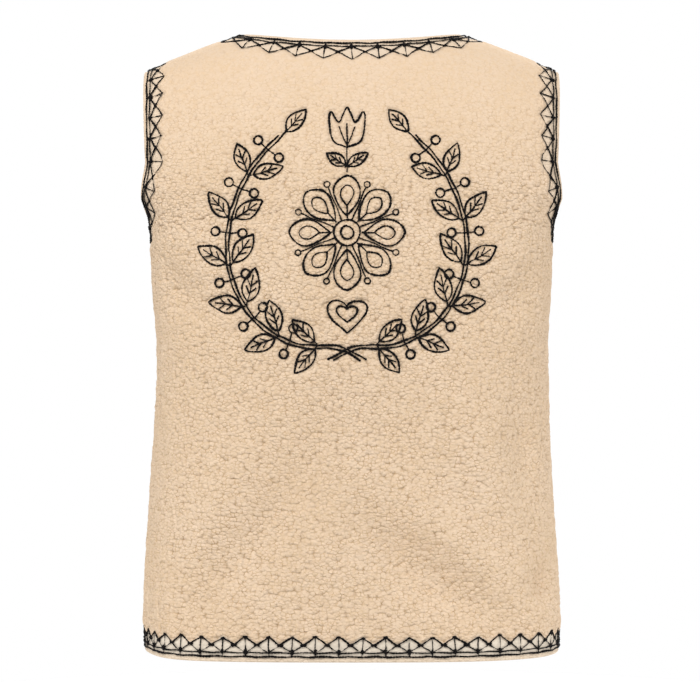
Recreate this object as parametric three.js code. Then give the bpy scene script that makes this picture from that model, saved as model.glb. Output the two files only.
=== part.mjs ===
// A sleeveless teddy-fleece vest, hollow and filled out, as it hangs from a wearer's shoulders.
// Three cut pieces meet at the side and shoulder seams: the back and two fronts.
// Millimetres, +Z up, +X to the wearer's left, the back faces +Y and the fronts face -Y.
// The origin lies midway between the shoulders, level with the ends of the neckline.

import * as THREE from 'three';

// Cloth and seams
const WALL = 4.5;                 // teddy fleece with its pile
const SEAM_GAP = 0.3;             // between two pieces at a seam
const FRONT_GAP = 3;              // between the two fronts, which meet edge to edge

// Heights
const HEM_Z = -563;
const BLADE_Z = -235;             // the deepest level: above it the cloth leans in towards the shoulders
const ARMHOLE_BASE_Z = -180;      // where the side seam ends
const ARMHOLE_MIDDLE_Z = -120;    // where the armhole is deepest from front to back

// Armholes, shoulders and neckline
const ARMHOLE_REACH = 56;         // half the armhole's depth from front to back
const ARMHOLE_HALF_WIDTH = 186;
const SHOULDER_PEAK = 62.6;       // these three give the shoulder line's height across the body
const SHOULDER_SLOPE = 0.45;
const SHOULDER_EASE = 40;
const YOKE_LEAN = 1.3;            // how soon the cloth leans in above the blades
const YOKE_ROUND = 2.5;           // how squarely it turns over the shoulders
const NECK_HALF_WIDTH = 102;
const NECKLINE = {
  back: { drop: 10, power: 2 },
  front: { drop: 92, power: 1.55 },
};

// Level sections of the vest: half width, depth behind and in front of the side seams, and how square each
// is. Above the blades the levels are those of the centre back, and the depths shrink with the yoke's turn.
const SECTIONS = [
  { z: -563, width: 190.5, back: 121.5, front: 122, square: 3.25 },
  { z: -530, width: 191.0, back: 121, front: 122, square: 3.2 },
  { z: -450, width: 186.8, back: 118, front: 121, square: 3.1 },
  { z: -370, width: 182.2, back: 114, front: 119, square: 3.0 },
  { z: -290, width: 180.2, back: 114, front: 118.5, square: 2.9 },
  { z: -235, width: 182.5, back: 116, front: 119, square: 2.95 },
  { z: -197, width: 184.2, back: 116, front: 119, square: 3.0 },
  { z: -176, width: 185.2, back: 116, front: 119, square: 3.05 },
  { z: -157, width: 187.2, back: 116, front: 119, square: 3.1 },
  { z: -140, width: 193.8, back: 116, front: 119, square: 3.15 },
  { z: -129, width: 198.3, back: 116, front: 119, square: 3.2 },
  { z: -104, width: 202.0, back: 116, front: 119, square: 3.2 },
  { z: -11, width: 206.4, back: 116, front: 119, square: 3.2 },
  { z: 23, width: 207.0, back: 116, front: 119, square: 3.2 },
];

// Soft folds: where round the body (degrees from the centre back, towards +X), how high, half length and
// half width in millimetres, depth (a ridge is negative), and lean from the vertical in degrees.
const FOLDS = [
  { around: 49, z: -239, length: 30, width: 14, depth: 6.0, lean: 57 },
  { around: -47, z: -241, length: 30, width: 14, depth: 6.0, lean: -65 },
  { around: 32, z: -430, length: 82, width: 17, depth: -6.0, lean: -25 },
  { around: 26, z: -444, length: 80, width: 18, depth: 7.0, lean: -24 },
  { around: -25, z: -461, length: 62, width: 16, depth: -6.5, lean: 41 },
  { around: -20, z: -482, length: 62, width: 17, depth: 8.0, lean: 40 },
  { around: -34, z: -384, length: 64, width: 15, depth: -5.0, lean: 11 },
  { around: -49, z: -378, length: 46, width: 14, depth: 4.5, lean: 3 },
  { around: -54, z: -500, length: 19, width: 12, depth: 6.5, lean: -10 },
  { around: -54, z: -522, length: 15, width: 15, depth: -3.2, lean: 0 },
  { around: 60, z: -548, length: 30, width: 24, depth: 3.0, lean: 0 },
  { around: 44, z: -570, length: 34, width: 24, depth: -4.5, lean: 0 },
  { around: 2, z: -375, length: 36, width: 40, depth: 2.8, lean: 80 },
  { around: 82, z: -330, length: 56, width: 15, depth: 3.8, lean: -14 },
  { around: 112, z: -252, length: 46, width: 15, depth: 4.6, lean: -52 },
  { around: 128, z: -484, length: 78, width: 19, depth: 5.4, lean: 14 },
  { around: 137, z: -500, length: 66, width: 17, depth: -3.0, lean: 12 },
  { around: 150, z: -398, length: 82, width: 22, depth: 3.6, lean: -9 },
  { around: 158, z: -536, length: 40, width: 18, depth: 3.0, lean: 4 },
  { around: -88, z: -452, length: 52, width: 14, depth: 4.0, lean: 11 },
  { around: -114, z: -262, length: 50, width: 15, depth: 4.6, lean: 46 },
  { around: -131, z: -442, length: 84, width: 20, depth: 5.0, lean: -17 },
  { around: -143, z: -430, length: 70, width: 18, depth: -2.8, lean: -16 },
  { around: -153, z: -520, length: 54, width: 18, depth: 3.8, lean: 6 },
];
const GIRTH_RADIUS = 150;         // turns degrees round the body into millimetres of cloth

// Steps of the grids that the walls are made from
const BODY_ROWS = 16;             // from the hem to the deepest level
const SIDE_ROWS = 2;              // from there to the armhole's base
const ARMHOLE_ROWS = 6;           // round the base of the armhole
const YOKE_ROWS = 9;              // from the armhole's middle to the shoulder seam
const NECK_COLUMNS = 10;          // from the centre to the end of the neckline, closer towards that end
const SHOULDER_COLUMNS = 8;       // from there to the side seam or armhole
const ARC_STEPS = 96;

const SIDE_ANGLE = Math.PI / 2;
const SHOULDER_TURN = Math.PI / 2;

const shoulderHeight = (x) => SHOULDER_PEAK - Math.hypot(SHOULDER_SLOPE * x, SHOULDER_EASE);

// Reads one column of SECTIONS at a level, with a smooth curve through its rows.
function sectionValue(column, level) {
  const last = SECTIONS.length - 1;
  const above = SECTIONS.findIndex((row) => row.z >= level);
  const i = THREE.MathUtils.clamp((above < 0 ? last : above) - 1, 0, last - 1);
  const before = SECTIONS[Math.max(i - 1, 0)];
  const low = SECTIONS[i];
  const high = SECTIONS[i + 1];
  const after = SECTIONS[Math.min(i + 2, last)];
  const step = high.z - low.z;
  const t = THREE.MathUtils.clamp((level - low.z) / step, 0, 1);
  const lowSlope = i === 0 ? 0 : (high[column] - before[column]) / (high.z - before.z);
  const highSlope = i + 1 === last ? 0 : (after[column] - low[column]) / (after.z - low.z);
  const t2 = t * t;
  const t3 = t2 * t;
  return (2 * t3 - 3 * t2 + 1) * low[column] + (t3 - 2 * t2 + t) * step * lowSlope
    + (3 * t2 - 2 * t3) * high[column] + (t3 - t2) * step * highSlope;
}

// One level of the figure. Rise is millimetres below the deepest level where it is negative, and the
// angle by which the cloth has turned over the shoulders where it is positive.
function levelAt(face, rise) {
  const turn = Math.max(rise, 0);
  const z = BLADE_Z + Math.min(rise, 0);
  const climb = Math.sin(turn) ** (2 / YOKE_LEAN);
  const level = z + climb * (shoulderHeight(0) - BLADE_Z);
  return {
    z,
    climb,
    width: sectionValue('width', level),
    depth: sectionValue(face, z) * Math.cos(turn) ** (2 / YOKE_ROUND),
    square: sectionValue('square', level),
  };
}

// A point of a level, at an angle from the centre of the back or front towards the side.
function levelPoint({ width, depth, square }, angle) {
  const across = Math.abs(Math.sin(angle));
  const along = Math.abs(Math.cos(angle));
  const radius = (across ** square + along ** square) ** (-1 / square);
  return { x: width * radius * Math.sin(angle), y: depth * radius * Math.cos(angle) };
}

function figurePoint(face, angle, rise) {
  const level = levelAt(face, rise);
  const { x, y } = levelPoint(level, angle);
  const z = level.z + level.climb * (shoulderHeight(x) - BLADE_Z);
  return new THREE.Vector3(x, face === 'back' ? y : -y, z);
}

function figureNormal(face, angle, rise) {
  const turn = 1e-4;
  const low = rise - (rise > turn ? turn : 0.02);
  const high = Math.min(rise > 0 ? rise + turn : rise, SHOULDER_TURN);
  const across = figurePoint(face, angle + turn, rise).sub(figurePoint(face, angle - turn, rise));
  const up = figurePoint(face, angle, high).sub(figurePoint(face, angle, low));
  const normal = across.cross(up).normalize();
  return face === 'back' ? normal.negate() : normal;
}

// How far the folds push the cloth inwards at a point round the body and at a height.
function foldDepth(around, z) {
  let depth = 0;
  for (const fold of FOLDS) {
    const turn = ((around - fold.around + 540) % 360) - 180;
    const aside = THREE.MathUtils.degToRad(turn) * GIRTH_RADIUS;
    const above = z - fold.z;
    const lean = THREE.MathUtils.degToRad(fold.lean);
    const cross = (aside * Math.cos(lean) - above * Math.sin(lean)) / fold.width;
    const long = (aside * Math.sin(lean) + above * Math.cos(lean)) / fold.length;
    depth += fold.depth * Math.exp(-cross * cross - long * long);
  }
  return depth;
}

// The turn at which the cloth beside the armhole reaches a height.
function turnAtHeight(z) {
  const climb = (z - BLADE_Z) / (shoulderHeight(ARMHOLE_HALF_WIDTH) - BLADE_Z);
  return Math.asin(climb ** (YOKE_LEAN / 2));
}

// The angle at which a level is a given distance in front of or behind the side seam.
function angleAtReach(level, reach) {
  const along = reach / level.depth;
  const across = (1 - along ** level.square) ** (1 / level.square);
  return Math.atan2(across, along);
}

// The angle that lies a share of the way along a level, between two angles.
function angleAtShare(level, start, end, share) {
  const angles = [];
  const lengths = [0];
  for (let i = 0; i <= ARC_STEPS; i += 1) {
    angles.push(start + (end - start) * i / ARC_STEPS);
    if (i === 0) continue;
    const here = levelPoint(level, angles[i]);
    const last = levelPoint(level, angles[i - 1]);
    lengths.push(lengths[i - 1] + Math.hypot(here.x - last.x, here.y - last.y));
  }
  const target = share * lengths[ARC_STEPS];
  const i = Math.max(lengths.findIndex((length) => length >= target - 1e-9), 1);
  const part = (target - lengths[i - 1]) / (lengths[i] - lengths[i - 1]);
  return angles[i - 1] + (angles[i] - angles[i - 1]) * part;
}

// The rows of a piece from hem to shoulder: the rise, the angle of the piece's outer edge there, and how
// far the row lies between the armhole's middle and the shoulder seam.
function pieceRows(face) {
  const rows = [];
  for (let i = 0; i < BODY_ROWS; i += 1) {
    rows.push({ rise: (HEM_Z - BLADE_Z) * (1 - i / BODY_ROWS), edge: SIDE_ANGLE, yoke: 0 });
  }
  for (let i = 0; i < SIDE_ROWS; i += 1) {
    const z = BLADE_Z + (ARMHOLE_BASE_Z - BLADE_Z) * i / SIDE_ROWS;
    rows.push({ rise: turnAtHeight(z), edge: SIDE_ANGLE, yoke: 0 });
  }
  for (let i = 0; i <= ARMHOLE_ROWS; i += 1) {
    const bend = (Math.PI / 2) * i / ARMHOLE_ROWS;
    const z = ARMHOLE_MIDDLE_Z + (ARMHOLE_BASE_Z - ARMHOLE_MIDDLE_Z) * Math.cos(bend);
    const rise = turnAtHeight(z);
    rows.push({ rise, edge: angleAtReach(levelAt(face, rise), ARMHOLE_REACH * Math.sin(bend)), yoke: 0 });
  }
  const middle = rows[rows.length - 1];
  for (let i = 1; i <= YOKE_ROWS; i += 1) rows.push({ ...middle, yoke: i / YOKE_ROWS });
  return rows;
}

// How far the cloth turns over the shoulder: to the seam, or only to the neckline inside the neck.
function fullTurn(face, x) {
  const share = Math.abs(x) / NECK_HALF_WIDTH;
  if (share > 0.9999) return SHOULDER_TURN;
  const { drop, power } = NECKLINE[face];
  const height = shoulderHeight(NECK_HALF_WIDTH) - drop * (1 - share ** power);
  const climb = (height - BLADE_Z) / (shoulderHeight(x) - BLADE_Z);
  return Math.asin(Math.min(climb, 1) ** (YOKE_LEAN / 2));
}

// Half the width of a level where its cloth reaches the shoulder seam, at an angle.
const seamReach = (face, angle) => levelPoint(levelAt(face, SHOULDER_TURN), angle).x;

// The shares at which the columns of half a piece stand, with one at the end of the neckline.
function columnShares(face, start, middle) {
  const level = levelAt(face, middle.rise);
  let neck = 0;
  let beyond = 1;
  for (let i = 0; i < 40; i += 1) {
    const share = (neck + beyond) / 2;
    const angle = angleAtShare(level, start, middle.edge, share);
    if (seamReach(face, angle) < NECK_HALF_WIDTH) neck = share;
    else beyond = share;
  }
  const shares = [];
  for (let i = 0; i < NECK_COLUMNS; i += 1) shares.push(neck * Math.sin((Math.PI / 2) * i / NECK_COLUMNS));
  for (let i = 0; i <= SHOULDER_COLUMNS; i += 1) shares.push(neck + (1 - neck) * i / SHOULDER_COLUMNS);
  return shares;
}

// One point of a piece's outer face and the one behind it on the inner face.
function clothPoints(face, mirror, share, start, row) {
  const angle = angleAtShare(levelAt(face, row.rise), start, row.edge, share);
  const turned = fullTurn(face, seamReach(face, angle));
  const rise = row.yoke > 0 ? row.rise + row.yoke * (turned - row.rise) : row.rise;
  const outer = figurePoint(face, angle, rise);
  const normal = figureNormal(face, angle, rise);
  if (angle === SIDE_ANGLE || rise === SHOULDER_TURN) normal.setY(0).normalize();
  const around = THREE.MathUtils.radToDeg(face === 'back' ? angle : Math.PI - angle);
  outer.addScaledVector(normal, -foldDepth(mirror * around, outer.z));
  const inner = outer.clone().addScaledVector(normal, -WALL);
  for (const point of [outer, inner]) {
    point.y = face === 'back' ? Math.max(point.y, SEAM_GAP / 2) : Math.min(point.y, -SEAM_GAP / 2);
    if (face === 'front') point.x = Math.max(point.x, FRONT_GAP / 2);
    point.x *= mirror;
  }
  return { outer, inner };
}

// A closed wall from a grid of outer points and a grid of inner ones, each quad cut along its short diagonal.
function wallGeometry(grid) {
  const rows = grid.length;
  const columns = grid[0].length;
  const points = [];
  const index = [];
  for (const layer of ['outer', 'inner']) {
    for (const row of grid) for (const point of row) points.push(point[layer]);
  }
  const outer = (r, c) => r * columns + c;
  const inner = (r, c) => rows * columns + outer(r, c);
  const quad = (a, b, c, d) => {
    const short = points[a].distanceTo(points[c]) < points[b].distanceTo(points[d]);
    index.push(...(short ? [a, b, c, a, c, d] : [b, c, d, b, d, a]));
  };
  for (let r = 0; r < rows - 1; r += 1) {
    for (let c = 0; c < columns - 1; c += 1) {
      quad(outer(r, c), outer(r, c + 1), outer(r + 1, c + 1), outer(r + 1, c));
      quad(inner(r, c), inner(r + 1, c), inner(r + 1, c + 1), inner(r, c + 1));
    }
    quad(outer(r, 0), outer(r + 1, 0), inner(r + 1, 0), inner(r, 0));
    quad(outer(r, columns - 1), inner(r, columns - 1), inner(r + 1, columns - 1), outer(r + 1, columns - 1));
  }
  for (let c = 0; c < columns - 1; c += 1) {
    quad(outer(0, c), inner(0, c), inner(0, c + 1), outer(0, c + 1));
    quad(outer(rows - 1, c), outer(rows - 1, c + 1), inner(rows - 1, c + 1), inner(rows - 1, c));
  }
  const geometry = new THREE.BufferGeometry().setFromPoints(points);
  geometry.setIndex(index);
  geometry.computeVertexNormals();
  return geometry;
}

const fleece = (name, color) => {
  const material = new THREE.MeshStandardMaterial({ color, roughness: 0.95, metalness: 0 });
  material.name = name;
  return material;
};

function pieceMesh(name, color, grid) {
  const mesh = new THREE.Mesh(wallGeometry(grid), fleece(`${name} fleece`, color));
  mesh.name = name;
  return mesh;
}

function backPiece() {
  const rows = pieceRows('back');
  const shares = columnShares('back', 0, rows[rows.length - 1]);
  const across = [...shares.slice(1).reverse().map((share) => -share), ...shares].reverse();
  return pieceMesh('back', 0xe3c7a4, rows.map((row) => (
    across.map((share) => clothPoints('back', share < 0 ? -1 : 1, Math.abs(share), 0, row))
  )));
}

function frontPiece(name, mirror, color) {
  const rows = pieceRows('front');
  const start = Math.atan2(FRONT_GAP / 2 / sectionValue('width', BLADE_Z), 1);
  const shares = columnShares('front', start, rows[rows.length - 1]);
  const across = mirror > 0 ? shares : shares.reverse();
  return pieceMesh(name, color, rows.map((row) => (
    across.map((share) => clothPoints('front', mirror, share, start, row))
  )));
}

const vest = new THREE.Group();
vest.name = 'teddy_vest';
vest.add(backPiece());
vest.add(frontPiece('front_left', 1, 0xe0c3a0));
vest.add(frontPiece('front_right', -1, 0xdfc29f));

export default vest;
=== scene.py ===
import math

import bpy
import numpy as np
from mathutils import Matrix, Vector
from mathutils.bvhtree import BVHTree
from mathutils.kdtree import KDTree


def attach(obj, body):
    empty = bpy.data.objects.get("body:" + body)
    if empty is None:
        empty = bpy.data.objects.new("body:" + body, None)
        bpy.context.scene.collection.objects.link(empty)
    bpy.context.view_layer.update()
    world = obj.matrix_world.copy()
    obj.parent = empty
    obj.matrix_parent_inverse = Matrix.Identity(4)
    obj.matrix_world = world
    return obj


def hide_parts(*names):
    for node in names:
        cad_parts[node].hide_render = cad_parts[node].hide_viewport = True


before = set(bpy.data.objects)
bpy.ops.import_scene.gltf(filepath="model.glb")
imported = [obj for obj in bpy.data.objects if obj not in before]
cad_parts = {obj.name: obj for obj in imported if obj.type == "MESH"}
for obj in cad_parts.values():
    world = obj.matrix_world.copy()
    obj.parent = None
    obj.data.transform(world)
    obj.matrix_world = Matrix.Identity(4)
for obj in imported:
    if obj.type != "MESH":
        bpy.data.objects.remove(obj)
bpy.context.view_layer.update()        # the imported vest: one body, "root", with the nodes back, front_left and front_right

scene = bpy.context.scene

# --- The cut cloth ------------------------------------------------------------------------------------
# The three pieces of beige teddy fleece before the pile is raised: one back, cut whole from hem to neck,
# and two fronts. They hang from the shoulder seams, filled out over a general figure, and lean in above
# the blades. Sizes are in millimetres and become metres when a mesh is made.

MM = 0.001
WALL = 4.5                 # ground and pile together
SEAM_GAP = 0.3
FRONT_GAP = 3.0
HEM_Z = -563.0
BLADE_Z = -235.0           # the deepest level: above it the cloth leans in towards the shoulders
ARMHOLE_BASE_Z = -180.0    # where the side seam ends
ARMHOLE_MIDDLE_Z = -120.0  # where the armhole is deepest from front to back
ARMHOLE_REACH = 56.0
ARMHOLE_HALF_WIDTH = 186.0
SHOULDER_PEAK = 62.6       # these three give the shoulder line's height across the body
SHOULDER_SLOPE = 0.45
SHOULDER_EASE = 40.0
YOKE_LEAN = 1.3            # how soon the cloth leans in above the blades
YOKE_ROUND = 2.5           # how squarely it turns over the shoulders
NECK_HALF_WIDTH = 102.0
NECKLINE = {"back": (10.0, 2.0), "front": (92.0, 1.55)}  # drop and power of the curve
QUARTER = math.pi / 2

# Level sections: half width, depth behind and in front of the side seams, and how square each is.
SECTION_COLUMNS = ("level", "width", "back", "front", "square")
SECTIONS = np.array([
    (-563, 190.5, 121.5, 122, 3.25),
    (-530, 191.0, 121, 122, 3.2),
    (-450, 186.8, 118, 121, 3.1),
    (-370, 182.2, 114, 119, 3.0),
    (-290, 180.2, 114, 118.5, 2.9),
    (-235, 182.5, 116, 119, 2.95),
    (-197, 184.2, 116, 119, 3.0),
    (-176, 185.2, 116, 119, 3.05),
    (-157, 187.2, 116, 119, 3.1),
    (-140, 193.8, 116, 119, 3.15),
    (-129, 198.3, 116, 119, 3.2),
    (-104, 202.0, 116, 119, 3.2),
    (-11, 206.4, 116, 119, 3.2),
    (23, 207.0, 116, 119, 3.2),
])

# Soft folds: degrees round the body from the centre back towards +X, height, half length, half width,
# depth (a ridge is negative) and lean from the vertical in degrees.
FOLDS = (
    (49, -239, 30, 14, 6.0, 57),
    (-47, -241, 30, 14, 6.0, -65),
    (32, -430, 82, 17, -6.0, -25),
    (26, -444, 80, 18, 7.0, -24),
    (-25, -461, 62, 16, -6.5, 41),
    (-20, -482, 62, 17, 8.0, 40),
    (-34, -384, 64, 15, -5.0, 11),
    (-49, -378, 46, 14, 4.5, 3),
    (-54, -500, 19, 12, 6.5, -10),
    (-54, -522, 15, 15, -3.2, 0),
    (60, -548, 30, 24, 3.0, 0),
    (44, -570, 34, 24, -4.5, 0),
    (2, -375, 36, 40, 2.8, 80),
    (82, -330, 56, 15, 3.8, -14),
    (112, -252, 46, 15, 4.6, -52),
    (128, -484, 78, 19, 5.4, 14),
    (137, -500, 66, 17, -3.0, 12),
    (150, -398, 82, 22, 3.6, -9),
    (158, -536, 40, 18, 3.0, 4),
    (-88, -452, 52, 14, 4.0, 11),
    (-114, -262, 50, 15, 4.6, 46),
    (-131, -442, 84, 20, 5.0, -17),
    (-143, -430, 70, 18, -2.8, -16),
    (-153, -520, 54, 18, 3.8, 6),
)
GIRTH_RADIUS = 150.0   # turns degrees round the body into millimetres of cloth
FOLD_EXTRA = 0.6       # soft cloth sinks this much deeper into a fold than its stiff wall does
HEM_BAND = 45.0        # though not near the hem, which the border stiffens
FOLD_WIDER = 1.3       # and its pile rounds the fold's sides


def unit(vectors):
    return vectors / np.linalg.norm(vectors, axis=-1, keepdims=True)


def path_length(points):
    """The distance from the first point, along a path, to each of its points."""
    return np.concatenate([[0], np.cumsum(np.linalg.norm(np.diff(points, axis=0), axis=1))])


def grid_lengths(points):
    """The distances along a grid's rows from its first column, and up its columns from its first row."""
    across = np.cumsum(np.linalg.norm(np.diff(points, axis=1), axis=-1), axis=1)
    up = np.cumsum(np.linalg.norm(np.diff(points, axis=0), axis=-1), axis=0)
    return np.pad(across, ((0, 0), (1, 0))), np.pad(up, ((1, 0), (0, 0)))


def section_value(column, level):
    """One column of SECTIONS at any level, on a smooth curve through its rows."""
    at = SECTIONS[:, 0]
    value = SECTIONS[:, SECTION_COLUMNS.index(column)]
    slope = np.zeros(len(at))
    slope[1:-1] = (value[2:] - value[:-2]) / (at[2:] - at[:-2])
    i = np.clip(np.searchsorted(at, level) - 1, 0, len(at) - 2)
    step = at[i + 1] - at[i]
    t = np.clip((level - at[i]) / step, 0, 1)
    rise = t * t * (3 - 2 * t)
    leave = t * (1 - t) ** 2 * step * slope[i]
    arrive = t * t * (t - 1) * step * slope[i + 1]
    return value[i] + (value[i + 1] - value[i]) * rise + leave + arrive


def shoulder_height(x):
    return SHOULDER_PEAK - np.hypot(SHOULDER_SLOPE * x, SHOULDER_EASE)


def level_at(face, rise):
    """A level of the figure: rise is millimetres below the blades, or above them the turn in radians."""
    turn = np.clip(rise, 0, QUARTER)
    z = BLADE_Z + np.minimum(rise, 0)
    climb = np.sin(turn) ** (2 / YOKE_LEAN)
    level = z + climb * (shoulder_height(0) - BLADE_Z)
    depth = section_value(face, z) * np.maximum(np.cos(turn), 0) ** (2 / YOKE_ROUND)
    return z, climb, section_value("width", level), depth, section_value("square", level)


def figure_point(face, angle, rise):
    """The outer face of the ground at an angle from the centre of the back or front."""
    z, climb, width, depth, square = level_at(face, rise)
    radius = (np.abs(np.sin(angle)) ** square + np.abs(np.cos(angle)) ** square) ** (-1 / square)
    x = width * radius * np.sin(angle)
    y = depth * radius * np.cos(angle) * (1 if face == "back" else -1)
    return np.stack([x, y, z + climb * (shoulder_height(x) - BLADE_Z)], axis=-1)


def figure_normal(face, angle, rise):
    turn = 1e-4
    low = rise - np.where(rise > turn, turn, 0.02)
    high = np.minimum(np.where(rise > 0, rise + turn, rise), QUARTER)
    across = figure_point(face, angle + turn, rise) - figure_point(face, angle - turn, rise)
    up = figure_point(face, angle, high) - figure_point(face, angle, low)
    return unit(np.cross(across, up) * (-1 if face == "back" else 1))


def fold_depth(around, z):
    """How far the soft folds push the cloth inwards."""
    depth = np.zeros(np.shape(z))
    for centre, height, length, width, deep, lean in FOLDS:
        aside = np.radians((around - centre + 540) % 360 - 180) * GIRTH_RADIUS
        above = z - height
        slant = math.radians(lean)
        cross = (aside * math.cos(slant) - above * math.sin(slant)) / (width * FOLD_WIDER)
        along = (aside * math.sin(slant) + above * math.cos(slant)) / length
        depth += deep * np.exp(-cross ** 2 - along ** 2)
    return depth * (1 + FOLD_EXTRA * np.clip((z - HEM_Z) / HEM_BAND - 0.3, 0, 1))


def turn_at_height(z):
    """The turn at which the cloth beside the armhole reaches a height."""
    climb = (z - BLADE_Z) / (shoulder_height(ARMHOLE_HALF_WIDTH) - BLADE_Z)
    return math.asin(climb ** (YOKE_LEAN / 2))


def angle_at_reach(face, rise, reach):
    """The angle at which a level lies a given distance behind or in front of the side seam."""
    _, _, _, depth, square = level_at(face, rise)
    along = reach / depth
    return math.atan2((1 - along ** square) ** (1 / square), along)


def angles_at_shares(face, rise, start, end, shares):
    """Angles that divide a level's cloth, from one angle to another, into the given shares."""
    angles = np.linspace(start, end, 241)
    lengths = path_length(figure_point(face, angles, np.full(angles.shape, rise))[:, :2])
    return np.interp(np.asarray(shares) * lengths[-1], lengths, angles)


def full_turn(face, x):
    """How far the cloth turns over the shoulder: to the seam, or only to the neckline inside the neck."""
    drop, power = NECKLINE[face]
    share = np.minimum(np.abs(x) / NECK_HALF_WIDTH, 1)
    height = shoulder_height(NECK_HALF_WIDTH) - drop * (1 - share ** power)
    climb = np.clip((height - BLADE_Z) / (shoulder_height(x) - BLADE_Z), 0, 1)
    return np.where(share > 0.9999, QUARTER, np.arcsin(climb ** (YOKE_LEAN / 2)))


NET_STEPS = 121


def flat_net(face):
    """Distances over the cloth on an even net: from the centre, and up from the deepest level."""
    turns = np.linspace(0, QUARTER, NET_STEPS)
    rises, angles = np.meshgrid(turns, turns, indexing="ij")
    return grid_lengths(figure_point(face, angles, rises))


def flat_places(nets, angles, rises):
    """Where points of the garment lie in the flat cloth, so that its pile isn't stretched."""
    i = np.clip(rises, 0, None) / QUARTER * (NET_STEPS - 1)
    j = np.abs(angles) / QUARTER * (NET_STEPS - 1)
    low = np.minimum(i.astype(int), NET_STEPS - 2)
    left = np.minimum(j.astype(int), NET_STEPS - 2)
    i, j = i - low, j - left
    across, up = [
        (net[low, left] * (1 - j) + net[low, left + 1] * j) * (1 - i)
        + (net[low + 1, left] * (1 - j) + net[low + 1, left + 1] * j) * i for net in nets]
    return np.stack([across, up + np.minimum(rises, 0)], axis=-1)


EDGE_STEPS = np.array([0.0, 0.45, 1.2, 2.4])  # closer rows where the cloth rolls over at an edge
EVEN_FROM = 4.2     # even rows start this far above the hem
YOKE_LENGTH = 170   # roughly, up the cloth from the armhole's middle
LEVEL_LENGTH = 250  # roughly, from the centre to the side
SOFTENED = 12       # rows above and below the deepest level that are eased
BODY_ROWS = 144
SIDE_ROWS = 26


def piece_rows(face, armhole, yoke):
    """Each row's rise, the angle of the outer edge there, and its share of the way up the yoke."""
    even = np.linspace(EVEN_FROM, BLADE_Z - HEM_Z, BODY_ROWS)[:-1]
    rows = [(rise, QUARTER, 0.0) for rise in (HEM_Z - BLADE_Z) + np.concatenate([EDGE_STEPS, even])]
    for z in np.linspace(BLADE_Z, ARMHOLE_BASE_Z, SIDE_ROWS + 1)[:-1]:
        rows.append((turn_at_height(z), QUARTER, 0.0))
    for bend in np.linspace(0, QUARTER, armhole):
        z = ARMHOLE_MIDDLE_Z + (ARMHOLE_BASE_Z - ARMHOLE_MIDDLE_Z) * math.cos(bend)
        rise = turn_at_height(z)
        rows.append((rise, angle_at_reach(face, rise, ARMHOLE_REACH * math.sin(bend)), 0.0))
    rise, edge, _ = rows[-1]
    last = 1 - EDGE_STEPS[::-1] / YOKE_LENGTH
    for share in np.concatenate([np.linspace(0, last[0] - 0.01, yoke + 1)[1:], last]):
        rows.append((rise, edge, share))
    return rows


def half_shares(face, start, rows, neck_columns, side_columns):
    """Shares of half a piece's width, closer at the outer edge: even ones, and ones for the neckline."""
    rise, edge, _ = rows[-1]
    shares = np.linspace(0, 1, 801)
    angles = angles_at_shares(face, rise, start, edge, shares)
    reach = figure_point(face, angles, np.full(angles.shape, QUARTER))[:, 0]
    neck = np.interp(NECK_HALF_WIDTH, reach, shares)
    last = 1 - EDGE_STEPS[::-1] / LEVEL_LENGTH
    outer = np.concatenate([np.linspace(neck, last[0] - 0.006, side_columns), last])
    turn = np.linspace(0, QUARTER, neck_columns + 1)[:-1]
    return tuple(np.concatenate([neck * inner, outer]) for inner in (turn / QUARTER, np.sin(turn)))


def piece_grid(face, mirror, start, rows, shares):
    """Points and normals of the ground's outer face, a row of the grid for each row of the piece."""
    points, normals, flats = [], [], []
    even, close = shares
    nets = flat_net(face)
    for rise, edge, yoke in rows:
        closer = min(max(yoke * 2 - 1, 0), 1) ** 2
        angles = angles_at_shares(face, rise, start, edge, even * (1 - closer) + close * closer)
        reach = figure_point(face, angles, np.full(angles.shape, QUARTER))[:, 0]
        rises = rise + yoke * (full_turn(face, reach) - rise) if yoke > 0 else np.full(angles.shape, rise)
        point = figure_point(face, angles, rises)
        normal = figure_normal(face, angles, rises)
        around = np.degrees(angles if face == "back" else math.pi - angles) * mirror
        point -= normal * fold_depth(around, point[:, 2])[:, None]
        if face == "back":
            point[:, 1] = np.maximum(point[:, 1], SEAM_GAP / 2)
        else:
            point[:, 1] = np.minimum(point[:, 1], -SEAM_GAP / 2)
            point[:, 0] = np.maximum(point[:, 0], FRONT_GAP / 2)
        points.append(point * (mirror, 1, 1))
        normals.append(normal * (mirror, 1, 1))
        flats.append(flat_places(nets, angles, rises) * (mirror, 1))
    points, normals = np.array(points), np.array(normals)
    deepest = next(i for i, row in enumerate(rows) if row[0] >= 0)
    for _ in range(3 * SOFTENED):
        for grid in (points, normals):
            band = grid[deepest - SOFTENED:deepest + SOFTENED + 1]
            band[1:-1] = (band[:-2] + 2 * band[1:-1] + band[2:]) / 4
    return points, unit(normals), np.array(flats)


def back_grid(rows, shares):
    """The back's grid, with columns from the wearer's left to the right, so that it faces outwards."""
    left = piece_grid("back", 1, 0.0, rows, shares)
    right = piece_grid("back", -1, 0.0, rows, shares)
    return tuple(np.concatenate([a[:, ::-1], b[:, 1:]], axis=1) for a, b in zip(left, right))


FRONT_START = math.atan2(FRONT_GAP / 2 / section_value("width", BLADE_Z), 1)


def front_grid(mirror, rows, shares):
    """A front's grid, with its columns ordered so that it faces outwards."""
    grids = piece_grid("front", mirror, FRONT_START, rows, shares)
    return tuple(grid[:, ::-1] for grid in grids) if mirror < 0 else grids


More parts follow.
